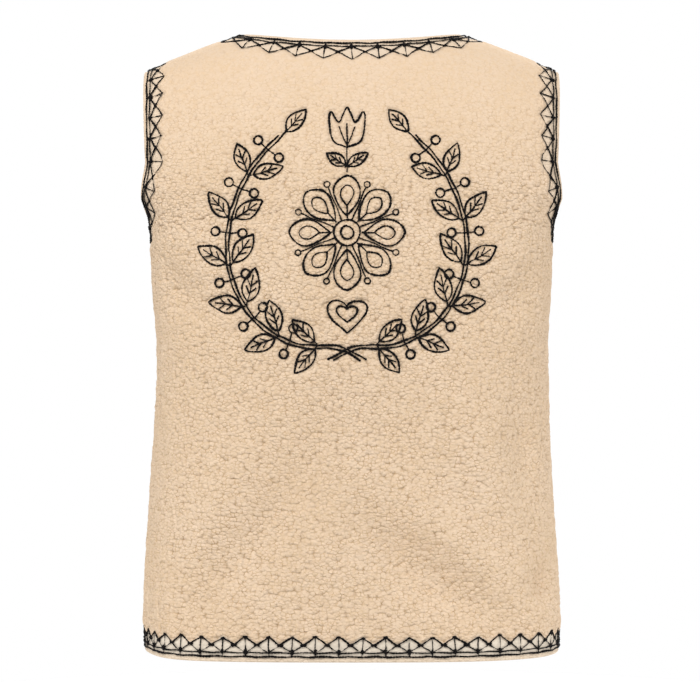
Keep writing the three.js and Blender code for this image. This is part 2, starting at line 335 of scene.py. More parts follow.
back_rows = piece_rows("back", 38, 76)
back_points, back_normals, back_flats = back_grid(back_rows, half_shares("back", 0.0, back_rows, 78, 76))
front_rows = piece_rows("front", 38, 84)
front_shares = half_shares("front", FRONT_START, front_rows, 84, 80)
front_shares = [np.concatenate([EDGE_STEPS[:3] / LEVEL_LENGTH, shares[1:]]) for shares in front_shares]
left_points, left_normals, left_flats = front_grid(1, front_rows, front_shares)
right_points, right_normals, right_flats = front_grid(-1, front_rows, front_shares)


def grid_quads(at):
    """Faces between the numbered points of a grid."""
    return np.stack([at[:-1, :-1], at[:-1, 1:], at[1:, 1:], at[1:, :-1]], axis=-1).reshape(-1, 4)


def ground_tree(grids):
    """The smooth ground of all three pieces, which the embroidery follows."""
    verts, faces = [], []
    for points in grids:
        some = points[::2, ::2]
        rows, columns = some.shape[:2]
        at = np.arange(rows * columns).reshape(rows, columns) + len(verts)
        verts.extend(Vector(point) for point in some.reshape(-1, 3))
        faces.extend(grid_quads(at).tolist())
    return BVHTree.FromPolygons(verts, faces)


ground = ground_tree([back_points, left_points, right_points])


def on_ground(points):
    """The nearest places on the ground, and its normals there."""
    found = [ground.find_nearest(Vector(point)) for point in points]
    return np.array([place for place, _, _, _ in found]), np.array([normal for _, normal, _, _ in found])


# --- The embroidered border ---------------------------------------------------------------------------
# Thick near-black polyester thread, machine-stitched through the pile along every edge: two rails, then
# a row of crossed diamonds that stand on the inner rail, each with a line down its middle that runs on
# to the outer rail. The stitches pull the pile down, so the thread lies in a shallow furrow.

INWARD = 9                  # a border starts out towards the points this many rows in
RAILS = ((5.0, 1.9), (8.5, 1.45))  # distance from the edge and width of the thread
KNOT = 8.5                  # where the legs of two diamonds meet, on the inner rail
SIDE = 15.2                 # where neighbouring diamonds cross
TIP = 22.3
PITCH = 20.7
NECK_PITCH = 23.0
HEAVY_LEG = 1.7             # the hem's diamonds are heavier at their tips, the others at their knots
LIGHT_LEG = 1.2
MIDDLE_WIDTH = 1.15
KNOT_WIDTH = 3.1
OVERRUN = 1.14              # a leg runs on past the crossing by this share of half a diamond
UNEVEN = (0.35, 0.45, 0.3)  # how far tips stray sideways and outwards, and crossings outwards
CROSSING_WIDTH = 2.4        # of the short stitches over the hem's tips and crossings
STITCH = 2.8
THREAD_STEP = 1.2
THIN = 1.3                  # thinner thread than this is half hidden by pile in places
THIN_HIDDEN = 0.75
THICK_HIDDEN = 0.3
THREAD_SIDES = 6
THREAD_LIFT = -0.75         # the thread's middle, measured from the tips of the ground's pile
STITCH_LIFT = 0.3           # how far it rises and sinks with each stitch
SLOW_LIFT = 0.25            # and over several stitches
WANDER = 0.28               # how far it strays sideways
OVALNESS = 0.85             # its height for its width
STRIP_STEP = 2.0
rng = np.random.default_rng(11)


def resample(points, step, *others):
    """Points at even steps along a path, and any other rows that go with them."""
    along = path_length(points)
    keep = np.concatenate([[True], np.diff(along) > 1e-6])
    count = max(int(round(along[-1] / step)), 2) + 1
    at = np.linspace(0, along[-1], count)
    rows = [
        np.stack([np.interp(at, along[keep], places[keep, k]) for k in range(3)], axis=1)
        for places in (points, *others)
    ]
    return rows if others else rows[0]


def edge_strip(points, inner):
    """Places along an edge, in columns that go STRIP_STEP further into the cloth each time."""
    points, inner = resample(points, STRIP_STEP, inner)
    tangent = unit(np.gradient(points, axis=0))
    inward = inner - points
    for _ in range(3):
        inward[1:-1] = (inward[:-2] + 2 * inward[1:-1] + inward[2:]) / 4
    inward -= tangent * np.sum(inward * tangent, axis=1, keepdims=True)
    columns = [points]
    for _ in range(int(TIP / STRIP_STEP) + 2):
        after, _ = on_ground(columns[-1] + unit(inward) * STRIP_STEP)
        inward = after - columns[-1]
        columns.append(after)
    return path_length(points), np.stack(columns, axis=1)


def strip_places(strip, line):
    """Places on the ground for a line drawn in distances along the edge and from it."""
    along, columns = strip
    line = resample(np.array([(s, d, 0.0) for s, d in line]), THREAD_STEP)
    row = np.interp(line[:, 0], along, np.arange(len(along)))
    column = line[:, 1] / STRIP_STEP
    i = np.minimum(row.astype(int), len(along) - 2)
    j = np.minimum(column.astype(int), columns.shape[1] - 2)
    u = (row - i)[:, None]
    v = (column - j)[:, None]
    low = columns[i, j] * (1 - u) + columns[i + 1, j] * u
    high = columns[i, j + 1] * (1 - u) + columns[i + 1, j + 1] * u
    return low * (1 - v) + high * v


def border_layout(length, mitred, pitch):
    """Middles of an edge's diamonds, and half their width. A mitred border stops short of its corners."""
    first = TIP if mitred else 0.0
    count = int(round((length - 2 * first) / pitch))
    half = (length - 2 * first) / count / 2
    return first + half * (2 * np.arange(count) + 1), half


def corner_threads(strip):
    """A diamond set slantwise in each corner of a border, between the two edges."""
    near, far = KNOT + 5.0, TIP - 1.5
    threads = []
    for start, onward in ((0.0, 1), (strip[0][-1], -1)):
        for width, turns in ((LIGHT_LEG, [(far, near)]), (LIGHT_LEG, [(near, far)]), (MIDDLE_WIDTH, [])):
            line = [(KNOT, KNOT), *turns, (TIP, TIP)]
            threads.append((strip_places(strip, [(start + onward * s, d) for s, d in line]), width))
    return threads


def border_threads(strip, mitred, pitch, foot_width, roof_width):
    """The rails, legs, middle lines and knots of one edge's border."""
    length = strip[0][-1]
    threads = []

    def sew(line, width):
        threads.append((strip_places(strip, line), width))

    for depth, width in RAILS:
        trim = depth if mitred else 0.0
        sew([(trim, depth), (length - trim, depth)], width)
    middles, half = border_layout(length, mitred, pitch)
    for middle in middles:
        sway, tip, side = rng.normal(0, UNEVEN)
        top = (middle + sway, TIP + tip)
        for turn in (-1, 1):
            cross = (middle + turn * half, SIDE + side)
            beyond = middle + turn * half * OVERRUN
            sew([(middle, KNOT), cross, (beyond, SIDE + 0.9)], foot_width)
            sew([top, cross, (beyond, SIDE - 1.1)], roof_width)
        sew([top, (middle, KNOT), (middle, RAILS[0][0])], MIDDLE_WIDTH)
        sew([(middle, KNOT - 1.0), (middle, KNOT + 2.6)], KNOT_WIDTH)
        if roof_width == HEAVY_LEG:
            sew([(top[0] - 1.6, top[1] - 0.8), top, (top[0] + 1.6, top[1] - 0.8)], CROSSING_WIDTH)
            sew([(middle + half - 2.3, SIDE), (middle + half + 2.3, SIDE)], CROSSING_WIDTH)
    return threads


def joined(*runs):
    return [np.concatenate(part) for part in zip(*runs)]


def row_edge(points, row, inner, columns=slice(None)):
    return points[row, columns], points[inner, columns]


def column_edge(points, column, inner, rows=slice(None)):
    return points[rows, column], points[rows, inner]


def neck_column(points):
    """The column in which the neckline ends at the shoulder seam, on the side of the first column."""
    top = np.abs(points[-1, :, 0])
    return int(np.argmin(np.abs(top[: len(top) // 2 if points is back_points else None] - NECK_HALF_WIDTH)))


hem_strip = edge_strip(*joined(*(
    row_edge(points, 0, INWARD) for points in (left_points, back_points, right_points))))
end = neck_column(back_points)
neck_strip = edge_strip(*joined(
    row_edge(left_points, -1, -INWARD, slice(0, neck_column(left_points) + 1)),
    row_edge(back_points, -1, -INWARD, slice(end, back_points.shape[1] - end)),
    row_edge(right_points, -1, -INWARD, slice(neck_column(right_points), None)),
))
front_strips = (
    edge_strip(*column_edge(left_points, 0, INWARD)),
    edge_strip(*column_edge(right_points, -1, -1 - INWARD)),
)
armhole = len(EDGE_STEPS) + BODY_ROWS - 1 + SIDE_ROWS
armhole_strips = []
for front_points, outer, inner, back_outer, back_inner in (
    (left_points, -1, -1 - INWARD, 0, INWARD),
    (right_points, 0, INWARD, -1, -1 - INWARD),
):
    down = [part[::-1] for part in column_edge(front_points, outer, inner, slice(armhole, None))]
    up = column_edge(back_points, back_outer, back_inner, slice(armhole, None))
    armhole_strips.append(edge_strip(*joined(down, up)))


def lay_threads(name, threads):
    """One mesh of stitched thread: each length is a tube that swells with every stitch and sinks between."""
    verts, faces, places = [], [], []
    spokes = np.linspace(0, 2 * math.pi, THREAD_SIDES, endpoint=False)
    count = 0
    for path, width in threads:
        path = resample(path, THREAD_STEP)
        middle, normal = on_ground(path)
        tangent = np.gradient(middle, axis=0)
        tangent /= np.linalg.norm(tangent, axis=1, keepdims=True) + 1e-12
        side = np.cross(normal, tangent)
        along = np.arange(len(path)) * THREAD_STEP
        phase = rng.uniform(0, 6.28, 4)
        stitch = np.abs(np.sin(along * math.pi / STITCH + phase[0]))
        wander = WANDER * np.sin(along / 3.7 + phase[1]) + rng.normal(0, 0.08, len(path))
        lift = THREAD_LIFT + STITCH_LIFT * (stitch - 0.6) + SLOW_LIFT * np.sin(along / 6.1 + phase[2])
        fullness = 1 + 0.22 * np.sin(along / 8.3 + phase[3]) + rng.normal(0, 0.07, len(path))
        radius = width / 2 * (0.6 + 0.5 * stitch) * fullness
        hidden = np.clip(np.sin(along / 1.9 + phase[1]) * np.sin(along / 4.3 + phase[3]), 0, 1)
        radius *= 1 - hidden * (THIN_HIDDEN if width < THIN else THICK_HIDDEN)
        middle = middle + normal * lift[:, None] + side * wander[:, None]
        across = side[:, None] * np.cos(spokes)[:, None]
        upright = OVALNESS * normal[:, None] * np.sin(spokes)[:, None]
        tube = middle[:, None] + (across + upright) * radius[:, None, None]
        rows = len(path)
        at = count + np.arange(rows * THREAD_SIDES).reshape(rows, THREAD_SIDES)
        after = np.roll(at, -1, axis=1)
        faces.append(np.stack([at[:-1], after[:-1], after[1:], at[1:]], axis=-1).reshape(-1, 4))
        ends = count + rows * THREAD_SIDES
        for end_row, tip, order in ((0, ends, -1), (rows - 1, ends + 1, 1)):
            end_ring = at[end_row][::order]
            cap = np.stack([end_ring, np.roll(end_ring, -1), np.full(THREAD_SIDES, tip)], axis=-1)
            faces.append(np.concatenate([cap, np.full((THREAD_SIDES, 1), -1)], axis=1))
        onward = tangent * radius[:, None] * 0.6
        verts.append(tube.reshape(-1, 3))
        verts.append(np.stack([middle[0] - onward[0], middle[-1] + onward[-1]]))
        places.append(middle)
        count += rows * THREAD_SIDES + 2
    piece = cloth_mesh(name, np.concatenate(verts), np.concatenate(faces))
    return piece, np.concatenate(places)


def cloth_mesh(name, verts, faces):
    """A smooth object from millimetre points. A face of three corners has -1 as its fourth."""
    sizes = np.where(faces[:, 3] < 0, 3, 4)
    corners = faces[faces >= 0]
    mesh = bpy.data.meshes.new(name)
    mesh.vertices.add(len(verts))
    mesh.vertices.foreach_set("co", (verts * MM).astype(np.float32).ravel())
    mesh.loops.add(len(corners))
    mesh.loops.foreach_set("vertex_index", corners.astype(np.int32))
    mesh.polygons.add(len(faces))
    mesh.polygons.foreach_set("loop_start", np.concatenate([[0], np.cumsum(sizes)[:-1]]).astype(np.int32))
    mesh.update(calc_edges=True)
    mesh.validate()
    mesh.shade_smooth()
    piece = bpy.data.objects.new(name, mesh)
    scene.collection.objects.link(piece)
    return piece


def linear(code):
    """A linear colour from sRGB hex."""
    parts = [int(code[i:i + 2], 16) / 255 for i in (0, 2, 4)]
    return [c / 12.92 if c <= 0.04045 else ((c + 0.055) / 1.055) ** 2.4 for c in parts] + [1.0]


def add_node(tree, kind, inputs=None, **settings):
    """A node with its settings, and with values or links on its inputs."""
    made = tree.nodes.new(kind)
    for name, value in settings.items():
        setattr(made, name, value)
    for name, value in (inputs or {}).items():
        if isinstance(value, bpy.types.NodeSocket):
            tree.links.new(value, made.inputs[name])
        else:
            made.inputs[name].default_value = value
    return made


VECTORS = "ShaderNodeVectorMath"


def maths(tree, operation, *values, kind="ShaderNodeMath", **settings):
    """What a maths node makes of its inputs."""
    return add_node(tree, kind, dict(enumerate(values)), operation=operation, **settings).outputs[0]


def noise(tree, place, scale, detail):
    """Soft noise, with about so many features to the metre."""
    inputs = {"Vector": place, "Scale": scale, "Detail": detail}
    return add_node(tree, "ShaderNodeTexNoise", inputs).outputs[0]


def ranged(tree, value, start, end, low=0.0, high=1.0, **settings):
    """A value that runs from start to end, brought to run from low to high, and held there."""
    inputs = {"Value": value, "From Min": start, "From Max": end, "To Min": low, "To Max": high}
    return add_node(tree, "ShaderNodeMapRange", inputs, **settings).outputs[0]


def mixed(tree, share, *colours):
    """A colour between two, each in sRGB hex or from another node."""
    low, high = [linear(colour) if isinstance(colour, str) else colour for colour in colours]
    return add_node(tree, "ShaderNodeMix", {"Factor": share, 6: low, 7: high}, data_type="RGBA").outputs[2]


def bumped(tree, height, strength, distance):
    """The normals of a fine relief, with its depth in metres."""
    inputs = {"Height": height, "Strength": strength, "Distance": distance}
    return add_node(tree, "ShaderNodeBump", inputs).outputs[0]


def add_shader(tree, surface, inputs):
    """The material's one surface shader."""
    tree.links.new(add_node(tree, "ShaderNodeBsdfPrincipled", inputs).outputs[0], surface)


def new_material(name):
    """An empty material, its node tree, its surface socket and the piece's own coordinates."""
    made = bpy.data.materials.new(name)
    made.use_nodes = True
    tree = made.node_tree
    tree.nodes.clear()
    surface = add_node(tree, "ShaderNodeOutputMaterial").inputs["Surface"]
    return made, tree, surface, add_node(tree, "ShaderNodeTexCoord").outputs["Object"]


# Spun polyester thread: near-black with a soft dull gleam, and browner where pile hairs lie across it.
thread_finish, tree, surface, place = new_material("spun_polyester_thread")
hairs = ranged(tree, noise(tree, place, 620.0, 3.0), 0.55, 0.8)
twist = bumped(tree, noise(tree, place, 2200.0, 1.0), 0.6, 0.0004)
add_shader(tree, surface, {
    "Base Color": mixed(tree, hairs, "070506", "2C2320"), "Normal": twist, "Roughness": 0.75, "IOR": 1.5,
    "Specular IOR Level": 0.12, "Sheen Weight": 0.02, "Sheen Roughness": 0.5})

thread_places = []
# Each border's strip, whether its corners are left to the next, pitch, and widths of the diamonds' lower
# and upper legs.
BORDERS = (
    ("hem_border", hem_strip, True, PITCH, LIGHT_LEG, HEAVY_LEG),
    ("neck_border", neck_strip, True, NECK_PITCH, HEAVY_LEG, LIGHT_LEG),
    ("front_border_left", front_strips[0], True, PITCH, HEAVY_LEG, LIGHT_LEG),
    ("front_border_right", front_strips[1], True, PITCH, HEAVY_LEG, LIGHT_LEG),
    ("armhole_border_left", armhole_strips[0], False, PITCH, HEAVY_LEG, LIGHT_LEG),
    ("armhole_border_right", armhole_strips[1], False, PITCH, HEAVY_LEG, LIGHT_LEG),
)
for name, strip, mitred, pitch, foot_width, roof_width in BORDERS:
    threads = border_threads(strip, mitred, pitch, foot_width, roof_width)
    if name in ("hem_border", "neck_border"):
        threads += corner_threads(strip)
    piece, places = lay_threads(name, threads)
    piece.data.materials.append(thread_finish)
    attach(piece, "root")
    thread_places.append(places)

# --- The motif on the back ----------------------------------------------------------------------------
# The same thread, stitched in outline on the upper back: a plain folk wreath of two leafy branches with
# berries, crossed at their feet, round one eight-petalled flower, with a bud above and a heart below.

MOTIF_CENTRE = (4.0, -186.0)  # across and up, on the back
MOTIF_WIDTH = 2.05
VEIN_WIDTH = 1.5
BRANCH = ((-17, -112), (8, -100), (46, -97), (82, -74), (102, -34), (102, 12), (84, 56), (54, 91))
BRANCH_GAP = 3.0              # between the two lines of a branch
LEAF_SHARES = (0.215, 0.34, 0.465, 0.59, 0.715, 0.84)
LEAF_LENGTH = 31.0
LEAF_HALF_WIDTH = 7.8
BERRY_RADIUS = 3.9
BERRY_SHARE = 0.088           # how far beyond its leaves a berry stands
PETALS = 8
PETAL_INNER = 15.0
PETAL_OUTER = 51.0
PETAL_HALF_WIDTH = 11.8
EYE_RADIUS = 11.5
STAMEN_TIP = 2.6
FLOWER_CENTRE = (0.0, 0.0)
BUD = ((0, 76), (-11, 81), (-15.5, 93), (-14.5, 109), (-7, 99), (0, 113), (7, 99), (14.5, 109), (15.5, 93),
       (11, 81), (0, 76))


def smooth_line(points, count=80):
    """A smooth line through a few points."""
    points = np.array(points, dtype=float)
    slope = np.gradient(points, axis=0)
    at = np.linspace(0, len(points) - 1, count)
    i = np.minimum(at.astype(int), len(points) - 2)
    t = (at - i)[:, None]
    rise = t * t * (3 - 2 * t)
    leave = slope[i] * t * (1 - t) ** 2
    arrive = slope[i + 1] * t * t * (t - 1)
    return points[i] + (points[i + 1] - points[i]) * rise + leave + arrive


def turned(points, angle, at):
    """A small shape, turned from pointing up and moved to its place."""
    points = np.array(points, dtype=float)
    c, s = math.cos(angle), math.sin(angle)
    return points @ np.array([[c, s], [-s, c]]) + np.array(at)


def leaf(length, half_width):
    """A pointed leaf that stands on its stalk, its vein, and two side veins on each half."""
    t = np.linspace(0, 1, 24)
    edge = half_width * np.sin(math.pi * t ** 0.85) ** 0.9
    outline = np.concatenate([np.stack([edge, t * length], 1), np.stack([-edge, t * length], 1)[::-1]])
    lines = [np.array([(0, -3.5), (0, length * 0.8)])]
    for share in (0.24, 0.46):
        for half in (-1, 1):
            lines.append(np.array([(0, share * length), (half * 0.6 * half_width, (share + 0.2) * length)]))
    return outline, lines


def ring(radius, at, count=26):
    turn = np.linspace(0, 2 * math.pi, count)
    return np.stack([at[0] + radius * np.sin(turn), at[1] + radius * np.cos(turn)], axis=1)


outlines, veins = [], []
branch = smooth_line(BRANCH, 180)
flow = unit(np.gradient(branch, axis=0))
beside = branch + np.stack([flow[:, 1], -flow[:, 0]], 1) * BRANCH_GAP


def place_leaf(foot, heading, size, flip):
    """A leaf on its foot, with its veins, on one side of the wreath."""
    outline, lines = leaf(LEAF_LENGTH * size, LEAF_HALF_WIDTH * size)
    outlines.append(turned(outline, -heading, foot) * flip)
    for line in lines:
        veins.append(turned(line, -heading, foot) * flip)


for side in (1, -1):
    flip = np.array([side, 1])
    outlines.append(branch * flip)
    outlines.append(beside[4:-4] * flip)
    for k, share in enumerate(LEAF_SHARES):
        i = int(share * (len(branch) - 1))
        heading = math.atan2(flow[i, 0], flow[i, 1])
        for lean in (-0.8, 0.86):
            foot = branch[i] + np.array([math.sin(heading + lean), math.cos(heading + lean)]) * 4.5
            place_leaf(foot, heading + lean, 1.0 - 0.05 * abs(k - 2.5), flip)
        j = min(int((share + BERRY_SHARE) * (len(branch) - 1)), len(branch) - 1)
        heading = math.atan2(flow[j, 0], flow[j, 1])
        for lean, reach in ((-1.45, 11.5), (1.5, 13.0)):
            away = np.array([math.sin(heading + lean), math.cos(heading + lean)])
            berry = branch[j] + away * reach
            outlines.append(ring(BERRY_RADIUS, berry) * flip)
            veins.append(np.array([branch[j], berry - away * BERRY_RADIUS]) * flip)
    place_leaf(branch[-1], math.atan2(flow[-1, 0], flow[-1, 1]), 0.85, flip)

# The flower: each petal has a smaller one inside it, and a stamen stands between each two.
for k in range(PETALS):
    angle = 2 * math.pi * k / PETALS
    t = np.linspace(0, 1, 30)
    reach = PETAL_INNER + (PETAL_OUTER - PETAL_INNER) * t
    edge = PETAL_HALF_WIDTH * np.sin(math.pi * t ** 1.35) ** 0.62
    petal = np.concatenate([np.stack([edge, reach], 1), np.stack([-edge, reach], 1)[::-1]])
    outlines.append(turned(petal, angle, FLOWER_CENTRE))
    inner_petal = (petal - (0, PETAL_OUTER * 0.7)) * 0.5 + (0, PETAL_OUTER * 0.68)
    veins.append(turned(inner_petal, angle, FLOWER_CENTRE))
    veins.append(turned([(0, PETAL_INNER - 2), (0, PETAL_INNER + 9)], angle, FLOWER_CENTRE))
    between = angle + math.pi / PETALS
    veins.append(turned([(0, EYE_RADIUS), (0, PETAL_INNER + 29)], between, FLOWER_CENTRE))
    veins.append(turned(ring(STAMEN_TIP, (0, PETAL_INNER + 31.5), 16), between, FLOWER_CENTRE))
outlines.append(ring(EYE_RADIUS, FLOWER_CENTRE, 40))
outlines.append(ring(EYE_RADIUS * 0.5, FLOWER_CENTRE))

# The bud above the flower, with two leaves on its stalk, and the heart below it.
outlines.append(smooth_line(BUD, 100))
veins.append(np.array([(0, 54), (0, 98)]))
veins.append(np.array([(0, 78), (-7.5, 95)]))
veins.append(np.array([(0, 78), (7.5, 95)]))
for half in (1, -1):
    place_leaf((1.0, 60.0), 1.0, 0.66, np.array([half, 1]))
heart_turn = np.linspace(0, 2 * math.pi, 60)
heart = np.stack([
    17.5 * np.sin(heart_turn) ** 3,
    13.8 * np.cos(heart_turn) - 5.2 * np.cos(2 * heart_turn) - 2.1 * np.cos(3 * heart_turn),
], axis=1)
outlines.append(heart + (0, -72))
outlines.append(heart * 0.52 + (0, -71))


def on_back(line):
    """A line of the motif, laid on the back of the vest."""
    places = []
    for x, up in line:
        start = Vector((MOTIF_CENTRE[0] - x, 300.0, MOTIF_CENTRE[1] + up))
        places.append(ground.ray_cast(start, Vector((0, -1, 0)))[0])
    return np.array(places)


threads = [(on_back(line), MOTIF_WIDTH) for line in outlines]
threads += [(on_back(line), VEIN_WIDTH) for line in veins]
motif, places = lay_threads("back_motif", threads)
motif.data.materials.append(thread_finish)
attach(motif, "root")
thread_places.append(places)

# --- The back -----------------------------------------------------------------------------------------
# Teddy fleece: a knitted ground with a dense curly polyester pile, brushed into small soft nubs. It is
# smoother over the shoulders and pressed flat and pale in the border. The edges are turned and stitched,
# so they are round. The seams to the fronts are plain.

NUB = 3.8             # width of a curl of pile
FINE_CURLS = 2.1      # how many fine curls lie across it
DOME_POWER = 1.9      # how round its top is
DOME_DROP = 1.25      # how far it falls to its sides
FINE_DROP = 0.32
NUB_FLATNESS = 1.4    # curls are wider than they are tall
SWIRL = 3.4           # how far the curls' outlines wander
NUB_HEIGHT = 1.7
NUB_SINK = -0.9       # the hollows between curls
CLUMP = 0.5           # height of the broad swells that several curls make together
SMOOTH_FROM = -150.0  # above this the pile lies flatter, towards the shoulder seams
SMOOTH_RISE = 130.0
SMOOTH_SHARE = 0.72   # how much of the curls' height it loses there
SMOOTH_LIFT = 0.8     # and how far the hollows fill
ROLL = 2.15           # radius of the turned edge
PRESSED = -1.15       # how far the border's pressed pile lies below the rest
PRESSED_SHARE = 0.85  # how much of the curls' height is lost in it
FURROW_DEPTH = 1.9
FURROW_WIDTH = 2.3
INNER_STRIDE = 6      # rows and columns of the outer face to one of the inner
PATTERN_SHIFT = 900   # millimetres, so that no two pieces have the same curls
PALE_HEIGHT = 30.0    # the hem's border is paler than the others
OTHER_EDGES_PALE = 0.35


def point_tree(points):
    """Points, set out so that the nearest to any place is soon found."""
    tree = KDTree(len(points))
    for i, point in enumerate(points):
        tree.insert(point, i)
    tree.balance()
    return tree


thread_tree = point_tree(np.concatenate(thread_places))


def curl_pattern(tree, place):
    """The curls, for a mesh or a material: the height of their domes, and how near a crease is."""
    swirl = add_node(tree, "ShaderNodeTexNoise", {"Vector": place, "Scale": 0.8 / (NUB * MM), "Detail": 2.0})
    swirl = maths(tree, "SUBTRACT", swirl.outputs["Color"], (0.5, 0.5, 0.5), kind=VECTORS)
    squat = maths(tree, "MULTIPLY", place, (1.0, NUB_FLATNESS, 1.0), kind=VECTORS)
    bent = maths(tree, "MULTIPLY_ADD", swirl, (SWIRL * MM, SWIRL * MM, 0.0), squat, kind=VECTORS)
    domes, crease, fine = (
        add_node(tree, "ShaderNodeTexVoronoi", {"Vector": bent, "Scale": scale / (NUB * MM)},
                 voronoi_dimensions="2D", feature=feature).outputs["Distance"]
        for scale, feature in ((1.0, "F1"), (1.0, "DISTANCE_TO_EDGE"), (FINE_CURLS, "F1"))
    )
    dome = maths(tree, "MULTIPLY_ADD", maths(tree, "POWER", domes, DOME_POWER), -DOME_DROP, 1.0)
    return maths(tree, "MULTIPLY_ADD", fine, -FINE_DROP, dome), crease


curl_tree = bpy.data.node_groups.new("curl_heights", "GeometryNodeTree")
curl_tree.interface.new_socket("Mesh", in_out="INPUT", socket_type="NodeSocketGeometry")
curl_tree.interface.new_socket("Mesh", in_out="OUTPUT", socket_type="NodeSocketGeometry")
laid_cloth = add_node(curl_tree, "NodeGroupInput").outputs[0]
cloth_place = add_node(curl_tree, "GeometryNodeInputPosition").outputs[0]
heights = add_node(curl_tree, "GeometryNodeStoreNamedAttribute", {
    "Geometry": laid_cloth, "Name": "curl", "Value": curl_pattern(curl_tree, cloth_place)[0]},
    data_type="FLOAT", domain="POINT")
add_node(curl_tree, "NodeGroupOutput", {0: heights.outputs[0]})


def curls(laid):
    """Height of the curls at places on the flat cloth, in metres, by the pattern that the fleece shows."""
    mesh = bpy.data.meshes.new("laid_cloth")
    mesh.from_pydata(laid.tolist(), [], [])
    cloth = bpy.data.objects.new("laid_cloth", mesh)
    scene.collection.objects.link(cloth)
    cloth.modifiers.new("curls", "NODES").node_group = curl_tree
    made = cloth.evaluated_get(bpy.context.evaluated_depsgraph_get()).data
    height = np.zeros(len(laid), dtype=np.float32)
    made.attributes["curl"].data.foreach_get("value", height)
    bpy.data.objects.remove(cloth)
    bpy.data.meshes.remove(mesh)
    return height


def edge_distance(points):
    """How far each place of a piece is from its nearest edge."""
    across, up = grid_lengths(points)
    return np.minimum.reduce([across, across[:, -1:] - across, up, up[-1:] - up])


def border_share(points):
    """1 inside the border's diamonds and rails, and 0 outside them, with a soft limit."""
    flat = np.zeros(len(points))
    for _, strip, mitred, pitch, _, _ in BORDERS:
        along, columns = strip
        middles, half = border_layout(along[-1], mitred, pitch)
        tree = point_tree(columns[:, 0])
        low, high = columns[:, 0].min(axis=0) - 26, columns[:, 0].max(axis=0) + 26
        near = np.flatnonzero(np.all((points > low) & (points < high), axis=1))
        for k in near:
            _, i, distance = tree.find(points[k])
            if distance > TIP + 2:
                continue
            phase = abs((along[i] - middles[0]) / half % 2 - 1)
            limit = SIDE + (TIP - SIDE) * phase
            flat[k] = max(flat[k], min(max((limit + 1.0 - distance) / 2.0, 0), 1))
    return flat


def zip_loops(fine, coarse):
    """Triangles that join two closed loops of vertex numbers, in step with each other."""
    n, m = len(fine), len(coarse)
    i = j = 0
    faces = []
    while i < n or j < m:
        if j >= m or (i < n and (i + 1) * m <= (j + 1) * n):
            faces.append((fine[i % n], coarse[j % m], fine[(i + 1) % n], -1))
            i += 1
        else:
            faces.append((fine[i % n], coarse[j % m], coarse[(j + 1) % m], -1))
            j += 1
    return faces


def rim(grid):
    """The numbers round a grid's edge, in order."""
    return np.concatenate([grid[0, :-1], grid[:-1, -1], grid[-1, :0:-1], grid[:0:-1, 0]])


def fleece_piece(name, points, normals, flats, seed):
    """One cut piece as a closed thin shell: a piled outer face, a plain inner one and turned edges."""
    rows, columns = points.shape[:2]
    across, up = flats[..., 0], flats[..., 1]
    laid = np.stack([across + PATTERN_SHIFT * seed, up, np.zeros(across.shape)], axis=-1).reshape(-1, 3) * MM
    pile = curls(laid).reshape(rows, columns)
    clumps = np.sin(across / 7.3 + 2.2 * np.sin(up / 10.7)) * np.sin(up / 5.9 + 1.9 * np.sin(across / 12.1))
    edge = edge_distance(points)
    flat = border_share(points.reshape(-1, 3)).reshape(rows, columns)
    near = np.array([thread_tree.find(point)[2] for point in points.reshape(-1, 3)]).reshape(rows, columns)
    furrow = np.exp(-(near / FURROW_WIDTH) ** 2)
    smooth = np.clip((points[..., 2] - SMOOTH_FROM) / SMOOTH_RISE, 0, 1)
    raised = 1 - SMOOTH_SHARE * smooth
    height = NUB_SINK + (NUB_HEIGHT * pile + CLUMP * clumps) * raised + SMOOTH_LIFT * smooth
    height = height * (1 - PRESSED_SHARE * flat) + PRESSED * flat
    height = height * (1 - furrow) - FURROW_DEPTH * furrow
    roll = np.clip(1 - edge / ROLL, 0, 1)
    height = height * (1 - 0.5 * roll) - ROLL * (1 - np.sqrt(1 - roll ** 2))
    outer = points + normals * height[..., None]
    i = np.unique(np.round(np.linspace(2, rows - 3, rows // INNER_STRIDE)).astype(int))
    j = np.unique(np.round(np.linspace(2, columns - 3, columns // INNER_STRIDE)).astype(int))
    inner = (points - normals * WALL)[np.ix_(i, j)]
    outer_at = np.arange(rows * columns).reshape(rows, columns)
    inner_at = outer_at.size + np.arange(inner.shape[0] * inner.shape[1]).reshape(inner.shape[:2])
    piled = grid_quads(outer_at)
    turning = np.array(zip_loops(rim(outer_at), rim(inner_at)))
    faces = np.concatenate([piled, grid_quads(inner_at)[:, [0, 3, 2, 1]], turning])
    piece = cloth_mesh(name, np.concatenate([outer.reshape(-1, 3), inner.reshape(-1, 3)]), faces)
    plain = np.zeros(inner_at.size)
    pale = np.where(points[..., 2] < HEM_Z + PALE_HEIGHT, 1.0, OTHER_EDGES_PALE)
    pale *= np.clip((edge - 3) / 2, 0.5, 1)
    for label, values in (("pressed", flat * pale), ("raised", raised)):
        layer = piece.data.attributes.new(label, "FLOAT", "POINT")
        layer.data.foreach_set("value", np.concatenate([values.ravel(), plain]).astype(np.float32))
    layer = piece.data.attributes.new("laid", "FLOAT_VECTOR", "POINT")
    laid = np.concatenate([laid, np.zeros((inner_at.size, 3))])
    layer.data.foreach_set("vector", laid.astype(np.float32).ravel())
    piece.data.materials.append(fleece_finish)
    piece.data.materials.append(reverse_finish)
    reverse = np.zeros(len(piece.data.polygons), dtype=np.int32)
    reverse[len(piled):] = 1
    piece.data.polygons.foreach_set("material_index", reverse)
    return piece


